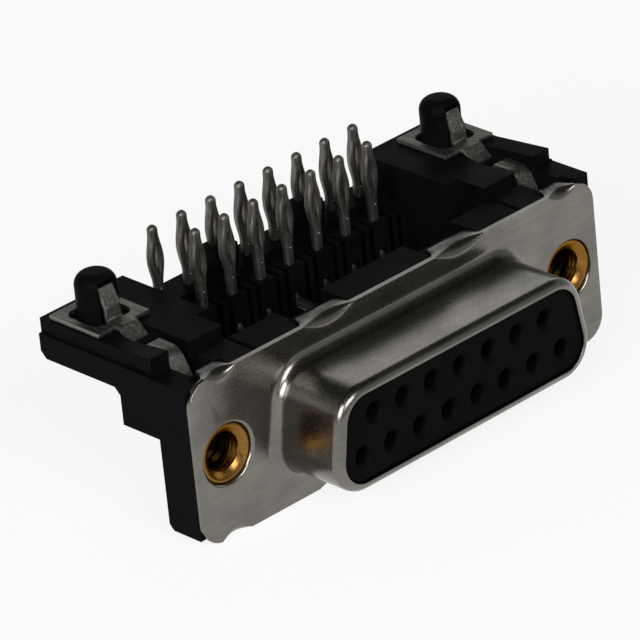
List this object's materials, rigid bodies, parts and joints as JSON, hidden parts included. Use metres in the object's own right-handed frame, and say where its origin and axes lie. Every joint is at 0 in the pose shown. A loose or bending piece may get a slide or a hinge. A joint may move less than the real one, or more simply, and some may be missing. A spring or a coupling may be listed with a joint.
{
  "type": "right-angle d-sub socket connector",
  "caption": "Right-angle D-shaped socket connector for a circuit board, with metal shell, brass screw inserts, press-fit tails, locating pegs and ground straps.",
  "frame": {"origin": "centre of the metal flange's front face", "axes": "+X along the flange, -Y out of the mating face, +Z towards the circuit board, the way the tails point"},
  "size_m": [0.0392, 0.0211, 0.0168],
  "materials": {
    "shell_metal": "satin tin plate on drawn steel",
    "insulator_plastic": "matte black moulded",
    "housing_plastic": "matte black moulded",
    "insert_brass": "turned",
    "contact_tin": "dull tin plate",
    "strap_tin": "scratched bright tin plate"
  },
  "bodies": {
    "root": {"front_shell": "shell_metal", "front_insulator": "insulator_plastic", "rear_insulator": "insulator_plastic", "tail_organiser": "insulator_plastic", "bracket_left": "housing_plastic", "bracket_right": "housing_plastic", "ground_strap_left": "strap_tin", "ground_strap_right": "strap_tin", "threaded_insert_left": "insert_brass", "threaded_insert_right": "insert_brass", "contact_01": "contact_tin", "contact_02": "contact_tin", "contact_03": "contact_tin", "contact_04": "contact_tin", "contact_05": "contact_tin", "contact_06": "contact_tin", "contact_07": "contact_tin", "contact_08": "contact_tin", "contact_09": "contact_tin", "contact_10": "contact_tin", "contact_11": "contact_tin", "contact_12": "contact_tin", "contact_13": "contact_tin", "contact_14": "contact_tin", "contact_15": "contact_tin"}
  },
  "joints": []
}
